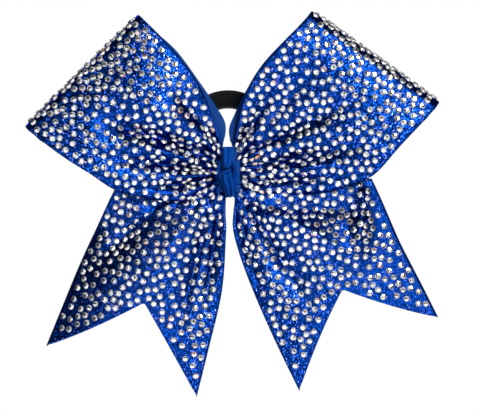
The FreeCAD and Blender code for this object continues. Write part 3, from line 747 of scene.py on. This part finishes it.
def glitter_material():
    """Fine metal flakes under a blue film: each flake has its own colour and its own tilt."""
    paint = Paint("blue_glitter")
    flakes = paint.add("TexVoronoi", {"Vector": paint.flat_place(), "Scale": FLAT_UNIT / FLAKE_SIZE})
    flake = flakes.outputs["Color"]
    bright = paint.add("SeparateColor", {"Color": flake}).outputs["Red"]
    colour = paint.ramp(bright, (
        (0.0, (0.0002, 0.004, 0.028)),
        (0.50, (0.0005, 0.0125, 0.092)),
        (0.85, (0.0012, 0.034, 0.25)),
        (0.96, (0.010, 0.10, 0.70)),
        (1.0, (0.26, 0.30, 1.0)),
    ))
    centred = paint.vector("SUBTRACT", {0: flake, 1: (0.5, 0.5, 0.5)})
    tilt = paint.vector("SCALE", {0: centred, "Scale": FLAKE_TILT})
    upright = paint.add("NewGeometry", {}).outputs["Normal"]
    tilted = paint.vector("ADD", {0: upright, 1: tilt})
    return paint.finished({
        "Base Color": colour,
        "Normal": paint.vector("NORMALIZE", {0: tilted}),
        "Metallic": 1.0,
        "Roughness": 0.36,
        "Specular IOR Level": 0.08,
        "Specular Tint": (0.08, 0.25, 0.85, 1.0),
    })


def grosgrain_material(name, hollow_blue_painted_shade, crest_blue_painted_light, rib):
    """Ribbed ribbon: fine ribs across it in the ribbon's own blue, painted lighter on each crest as light and
    darker in each hollow as shade.
    """
    paint = Paint(name)
    place = paint.flat_place()
    waves = {"Vector": place, "Scale": math.pi / 10 * FLAT_UNIT / rib, "Distortion": 0.4, "Detail": 1.0}
    ribs = paint.add("TexWave", waves, bands_direction="X").outputs["Fac"]
    patches = paint.add("TexNoise", {"Vector": place, "Scale": 12.0}).outputs["Fac"]
    uneven = paint.add("MapRange", {"Value": patches, "To Min": 0.8, "To Max": 1.2}).outputs["Result"]
    # the ribbon's blue, with painted light on the rib crests and painted shade in the hollows
    ribbed = paint.ramp(ribs, ((0.0, hollow_blue_painted_shade), (1.0, crest_blue_painted_light)))
    toned = paint.add("HueSaturation", {"Color": ribbed, "Value": uneven})
    return paint.finished({
        "Base Color": toned.outputs["Color"],
        "Normal": paint.bump(ribs, 0.5, 0.10),
        "Roughness": 0.5,
        "Specular IOR Level": 0.1,
    })


def stone_material():
    """Foil backed cut glass: mirror tables, and crowns that send the light back white. The facets' colours
    also carry painted dark reflections and painted coloured flashes.
    """
    paint = Paint("crystal")
    mirror = paint.facet_value("mirror", "Fac")
    rough = paint.add("MapRange", {"Value": mirror, "To Min": 0.45, "To Max": 0.10})
    return paint.finished({
        "Base Color": paint.facet_value("facet", "Color"),
        "Metallic": mirror,
        "Roughness": rough.outputs["Result"],
        "Coat Weight": 0.5,
        "Coat Roughness": 0.05,
    })


def elastic_material():
    """Black knitted elastic: fine stitches in rows along it."""
    paint = Paint("black_knit")
    waves = {"Vector": paint.flat_place(), "Scale": 22.0, "Distortion": 0.6}
    stitches = paint.add("TexWave", waves, bands_direction="DIAGONAL").outputs["Fac"]
    return paint.finished({
        "Base Color": paint.ramp(stitches, ((0.0, (0.0005, 0.001, 0.001)), (1.0, (0.004, 0.006, 0.0065)))),
        "Normal": paint.bump(stitches, 0.7, 0.25),
        "Roughness": 0.7,
        "Specular IOR Level": 0.25,
        "Sheen Weight": 0.02,
        "Sheen Roughness": 0.4,
    })


def thread_material():
    """Waxed blue thread, twisted."""
    paint = Paint("waxed_thread")
    waves = {"Vector": paint.object_place(), "Scale": 700.0}
    twist = paint.add("TexWave", waves, bands_direction="DIAGONAL").outputs["Fac"]
    return paint.finished({
        "Base Color": paint.ramp(twist, ((0.0, (0.01, 0.03, 0.12)), (1.0, (0.03, 0.10, 0.36)))),
        "Roughness": 0.4,
    })


def glue_material():
    """Cloudy hot glue."""
    paint = Paint("cloudy_glue")
    cloud = paint.add("TexNoise", {"Vector": paint.object_place(), "Scale": 400.0}).outputs["Fac"]
    return paint.finished({
        "Base Color": paint.ramp(cloud, ((0.3, (0.72, 0.70, 0.62)), (0.7, (0.86, 0.85, 0.80)))),
        "Roughness": 0.25,
        "Subsurface Weight": 0.3,
    })


def floor_material():
    """A pale floor with a faint uneven tone."""
    paint = Paint("pale_floor_paint")
    cloud = paint.add("TexNoise", {"Vector": paint.object_place(), "Scale": 3.0}).outputs["Fac"]
    return paint.finished({
        "Base Color": paint.ramp(cloud, ((0.0, FLOOR_SHADE), (1.0, FLOOR_LIGHT))),
        "Roughness": 0.8,
    })


MATERIALS = {
    "glitter": glitter_material(),
    # each ribbed ribbon's hollow colour carries painted shade, and its crest colour painted light
    "backing": grosgrain_material(
        "blue_grosgrain", (0.0003, 0.024, 0.135), (0.0003, 0.075, 0.400), BACKING_RIB),
    "centre": grosgrain_material(
        "blue_centre_ribbon", (0.0002, 0.040, 0.240), (0.0002, 0.090, 0.480), CENTRE_RIB),
    "stones": stone_material(),
    "elastic": elastic_material(),
    "thread": thread_material(),
    "glue": glue_material(),
    "floor": floor_material(),
}


# ---------------------------------------------------------------- loops and tails

def make_panel(side, part, chance):
    """One loop or tail: its glitter face, its backing and its stones."""
    panel = PANELS[part]
    shape = panel["shapes"][side]
    shape["rails"] = {key: smooth_rail(shape[key]) for key in panel["rails"]}
    glitter, points, normal = ribbon_layer(side, part, "glitter")
    backing = ribbon_layer(side, part, "backing")[0]
    places = scatter(points, normal, panel["stone_rows"], panel["open_rows"], chance)
    crystals = stones_piece(side, part, places, chance)
    for piece in (glitter, backing, crystals):
        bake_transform(piece)


# ---------------------------------------------------------------- knot, wrap, gather and elastic

def stands_for(piece, body, node):
    """The piece rides on this body and stands for this CAD node, which is hidden."""
    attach(piece, body)
    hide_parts(node)


def spread(values, share):
    """Values given at even steps, smoothly spread over the shares."""
    steps = np.linspace(0, 10, len(values))
    return along(smooth_rail(np.column_stack([steps, values])), share)[:, 1]


def make_tongue(name, spine, widths, swells, back, folds):
    """A folded tongue of the centre ribbon."""
    share = np.linspace(0, 1, TONGUE_ROWS)
    line = along(smooth_rail(spine), share)
    way = np.gradient(line, axis=0)
    way /= np.linalg.norm(way, axis=1, keepdims=True)
    over = np.linspace(-1, 1, TONGUE_COLS)
    angle = over * math.radians(TONGUE_TURN)
    wrinkle = np.zeros((TONGUE_ROWS, TONGUE_COLS))
    for at, drift, width, height in folds:
        beside = over[None, :] - at - drift * (share[:, None] - 0.5)
        wrinkle += height * np.exp(-np.abs(beside / width) ** 1.5)
    # the section is an arch whose edges turn under, with the folds on it
    across = spread(widths, share)[:, None] * np.sin(angle)[None, :]
    swell = spread(swells, share)[:, None] + wrinkle
    y = -(back + swell * np.clip(np.cos(angle), -0.15, 1)[None, :])
    x = line[:, 0][:, None] - way[:, 1][:, None] * across
    z = line[:, 1][:, None] + way[:, 0][:, None] * across
    points = np.stack([x, y, z], axis=-1)
    inner = points - normals_of(points, TONGUE_ROWS // 2) * TONGUE_THICK
    flat = np.stack(np.meshgrid(share * 20, over * 9, indexing="ij"), axis=-1)
    piece = grid_piece(name, (points, inner), flat, MATERIALS["centre"])
    stands_for(piece, "knot", "centre_knot")


def rounded_path(half_y, half_z, corner, count):
    """Places evenly spaced round a rounded rectangle, the outward directions there, and the runs so far."""
    points = []
    for sign_y, sign_z, start in ((1, 1, 0), (-1, 1, 90), (-1, -1, 180), (1, -1, 270)):
        for turn in np.linspace(0, 90, 13):
            angle = math.radians(start + turn)
            points.append((
                sign_y * (half_y - corner) + corner * math.cos(angle),
                sign_z * (half_z - corner) + corner * math.sin(angle)))
    points.append(points[0])
    points = np.array(points)
    run = length_so_far(points)
    at = np.linspace(0, run[-1], count, endpoint=False)
    place = np.column_stack([np.interp(at, run, points[:, k]) for k in (0, 1)])
    return place, outward_of(place), at


def make_band():
    """The centre ribbon's wrap: bunched to a third of its width, so folds run round it."""
    place, out, at = rounded_path(BAND_HALF_DEPTH, BAND_HALF_HEIGHT, BAND_CORNER, BAND_ROWS)
    place[:, 0] -= BAND_HALF_DEPTH
    x_share = np.linspace(-1, 1, BAND_COLS)
    front = np.clip(-out[:, 0], 0, 1)
    # narrower at the front, and narrower still where it runs to the right under the knot
    low = ease(4, 11, -place[:, 1]) * ease(3, 9, -place[:, 0])
    half = (BAND_HALF_WIDTH - BAND_FRONT_PINCH * front) * (1 - BAND_LOW_PINCH * low)
    fold = BAND_FOLD * np.sin(x_share * BAND_FOLD_TURN + 0.5)[None, :] * (0.8 + 0.2 * np.sin(at / 6))[:, None]
    lift = np.where(np.abs(x_share) > BAND_HEM_FROM, -BAND_HEM, 0.0)[None, :] + fold - BAND_FOLD
    x = x_share[None, :] * half[:, None] + BAND_DRIFT * low[:, None]
    out_y, out_z = out[:, 0][:, None], out[:, 1][:, None]
    y = place[:, 0][:, None] + out_y * lift
    z = place[:, 1][:, None] + out_z * lift
    outer = np.stack([x, y, z], axis=-1)
    inner = np.stack([x, y - out_y * BAND_THICK, z - out_z * BAND_THICK], axis=-1)
    flat = np.stack(np.meshgrid(at, x_share * 10, indexing="ij"), axis=-1)
    band = grid_piece("centre_wrap", (outer, inner), flat, MATERIALS["centre"], closed=True)
    stands_for(band, "knot", "centre_band")


def make_gather():
    """The ribbon bunched under the wrap: pleats stacked from top to bottom, running across."""
    angle = np.linspace(0, 2 * math.pi, GATHER_ROWS, endpoint=False)
    across = np.linspace(-GATHER_HALF_WIDTH, GATHER_HALF_WIDTH, GATHER_COLS)
    pleat = GATHER_PLEAT_DEPTH * np.sin(angle * GATHER_PLEATS)
    squeeze = 1 - 0.08 * np.cos(across / GATHER_HALF_WIDTH * math.pi / 2)
    x = np.broadcast_to(across, (GATHER_ROWS, GATHER_COLS))
    deep = np.outer(np.cos(angle) * (GATHER_HALF_DEPTH + pleat * 0.6), squeeze)
    z = np.outer(signed_power(np.sin(angle), 0.8) * (GATHER_HALF_HEIGHT + pleat), squeeze)
    outer = np.stack([x, deep - GATHER_MIDDLE, z], axis=-1)
    inner = np.stack([x, deep * GATHER_HOLLOW - GATHER_MIDDLE, z * GATHER_HOLLOW], axis=-1)
    flat = np.stack([x, np.outer(angle * 8, np.ones(GATHER_COLS))], axis=-1)
    bunch = grid_piece("gathered_pleats", (outer, inner), flat, MATERIALS["backing"], closed=True)
    stands_for(bunch, "knot", "gathered_ribbon")


def elastic_line():
    """The middle line of the elastic as it lies flat: straight, a corner, round the ring, a corner."""
    straight, corner, radius = ELASTIC_STRAIGHT, ELASTIC_CORNER, ELASTIC_RADIUS
    bend = math.asin(straight / (radius - corner))
    turn = math.pi - bend
    centre = corner + (radius - corner) * math.cos(bend)
    ring_from = math.pi / 2 - turn
    line = [(x, 0.0) for x in np.linspace(-straight, straight, 30)]
    line += [
        (straight + corner * math.sin(a), corner - corner * math.cos(a))
        for a in np.linspace(0, turn, 24)[1:]]
    line += [
        (radius * math.cos(a), centre + radius * math.sin(a))
        for a in np.linspace(ring_from, math.pi - ring_from, 150)[1:]]
    line += [
        (-straight - corner * math.sin(a), corner - corner * math.cos(a))
        for a in np.linspace(turn, 0, 24)[1:-1]]
    return np.array(line)


def make_elastic():
    """The hair elastic: a flat knitted tube, squeezed round where it runs through the wrap."""
    line = elastic_line()
    out = outward_of(line)
    inside_band = (np.abs(line[:, 0]) < ELASTIC_STRAIGHT) & (line[:, 1] < 1)
    loose = np.where(inside_band, ease(5.0, ELASTIC_STRAIGHT, np.abs(line[:, 0])), 1.0)[:, None]
    half_wide = ELASTIC_SQUEEZED + (ELASTIC_HALF_WIDE - ELASTIC_SQUEEZED) * loose
    half_deep = ELASTIC_SQUEEZED + (ELASTIC_HALF_DEEP - ELASTIC_SQUEEZED) * loose
    angle = np.linspace(0, 2 * math.pi, ELASTIC_SIDES, endpoint=False)
    groove = loose * (ELASTIC_RIB_DEPTH * np.abs(np.sin(angle * ELASTIC_RIBS)) - ELASTIC_RIB_DROP)
    power = 1 - ELASTIC_BOXY * loose
    u = half_wide * signed_power(np.cos(angle), power) + groove * np.cos(angle)
    v = half_deep * signed_power(np.sin(angle), power) + groove * np.sin(angle)
    x = line[:, 0][:, None] + out[:, 0][:, None] * u
    z = line[:, 1][:, None] + out[:, 1][:, None] * u
    lean = math.radians(ELASTIC_LEAN)
    y_turned = v * math.cos(lean) + z * math.sin(lean)
    z_turned = z * math.cos(lean) - v * math.sin(lean)
    y_place, z_place = ELASTIC_PLACE
    points = np.stack([x, y_turned + y_place, z_turned + z_place], axis=-1).reshape(-1, 3)
    a = np.arange(len(points)).reshape(len(line), ELASTIC_SIDES)
    b = np.roll(a, -1, axis=0)
    faces = np.stack([a, b, np.roll(b, -1, axis=1), np.roll(a, -1, axis=1)], axis=-1).reshape(-1, 4)
    flat = np.stack(np.meshgrid(length_so_far(line), angle * 4, indexing="ij"), axis=-1).reshape(-1, 2)
    mesh = ribbon_mesh("knit_elastic", points, faces, flat / ELASTIC_UNIT, MATERIALS["elastic"])
    face_out(mesh, 0, points[0] - np.array([line[0][0], y_place, z_place]))
    stands_for(add_object("knit_elastic", mesh), "elastic", "hair_elastic")


chance = random.Random(7)
for side in ("left", "right"):
    for part in ("loop", "tail"):
        make_panel(side, part, chance)
for name, shape in KNOT.items():
    make_tongue(name, **shape)
make_band()
make_gather()
make_elastic()
for node, material in (("cinch_thread", "thread"), ("glue_beads", "glue")):
    for material_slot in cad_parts[node].material_slots:
        material_slot.material = MATERIALS[material]


# ---------------------------------------------------------------- stage, lights and camera, in metres

floor_mesh = bpy.data.meshes.new("pale_floor")
floor_mesh.from_pydata([(-6, -6, -0.32), (6, -6, -0.32), (6, 2, -0.32), (-6, 2, -0.32)], [], [(0, 1, 2, 3)])
floor_mesh.materials.append(MATERIALS["floor"])
floor = add_object("pale_floor", floor_mesh)
floor.visible_diffuse = False

# Soft boxes that shine at the bow: each has its place, its size and its watts.
for name, place, size, watts in (
    ("key_box", (0.42, -1.14, 0.36), 0.34, 15),
    ("fill_box", (-0.4, -1.2, 0.10), 0.5, 1.0),
    ("back_box", (-0.4, 1.3, 0.5), 0.8, 9),
):
    lamp = bpy.data.lights.new(name, "AREA")
    lamp.size = size
    lamp.energy = watts
    box = add_object(name, lamp)
    box.location = place
    box.rotation_euler = (-Vector(place)).to_track_quat("-Z", "Y").to_euler()
    box.visible_camera = False

# An even light from above for the floor alone.
lamp = bpy.data.lights.new("floor_light", "SUN")
lamp.energy = 3.0
lamp.angle = math.radians(30)
overhead = add_object("floor_light", lamp)
lit_from_above = bpy.data.collections.new("lit_from_above")
lit_from_above.objects.link(floor)
overhead.light_linking.receiver_collection = lit_from_above

# The studio is white to look at, and dimmer as a light, so that the folds keep their shade.
world = bpy.data.worlds.new("white_studio")
world.use_nodes = True
nodes = world.node_tree.nodes
links = world.node_tree.links
backdrop = nodes["Background"]
backdrop.inputs["Color"].default_value = (1.0, 1.0, 1.0, 1.0)
backdrop.inputs["Strength"].default_value = 1.0
dim = nodes.new("ShaderNodeBackground")
dim.inputs["Color"].default_value = (0.9, 0.95, 1.0, 1.0)
dim.inputs["Strength"].default_value = 0.09
path = nodes.new("ShaderNodeLightPath")
choose = nodes.new("ShaderNodeMixShader")
links.new(path.outputs["Is Camera Ray"], choose.inputs["Fac"])
links.new(dim.outputs["Background"], choose.inputs[1])
links.new(backdrop.outputs["Background"], choose.inputs[2])
links.new(choose.outputs["Shader"], nodes["World Output"].inputs["Surface"])
bpy.context.scene.world = world
bpy.context.scene.view_settings.view_transform = "Standard"

# A long lens straight in front of the bow.
lens = bpy.data.cameras.new("photo_view")
lens.lens = 200
lens.sensor_width = 36
lens.clip_end = 50
camera = add_object("photo_view", lens)
camera.location = (0.0058, -1.3028, -0.0166)
camera.rotation_euler = (math.radians(90), 0, 0)
bpy.context.scene.camera = camera
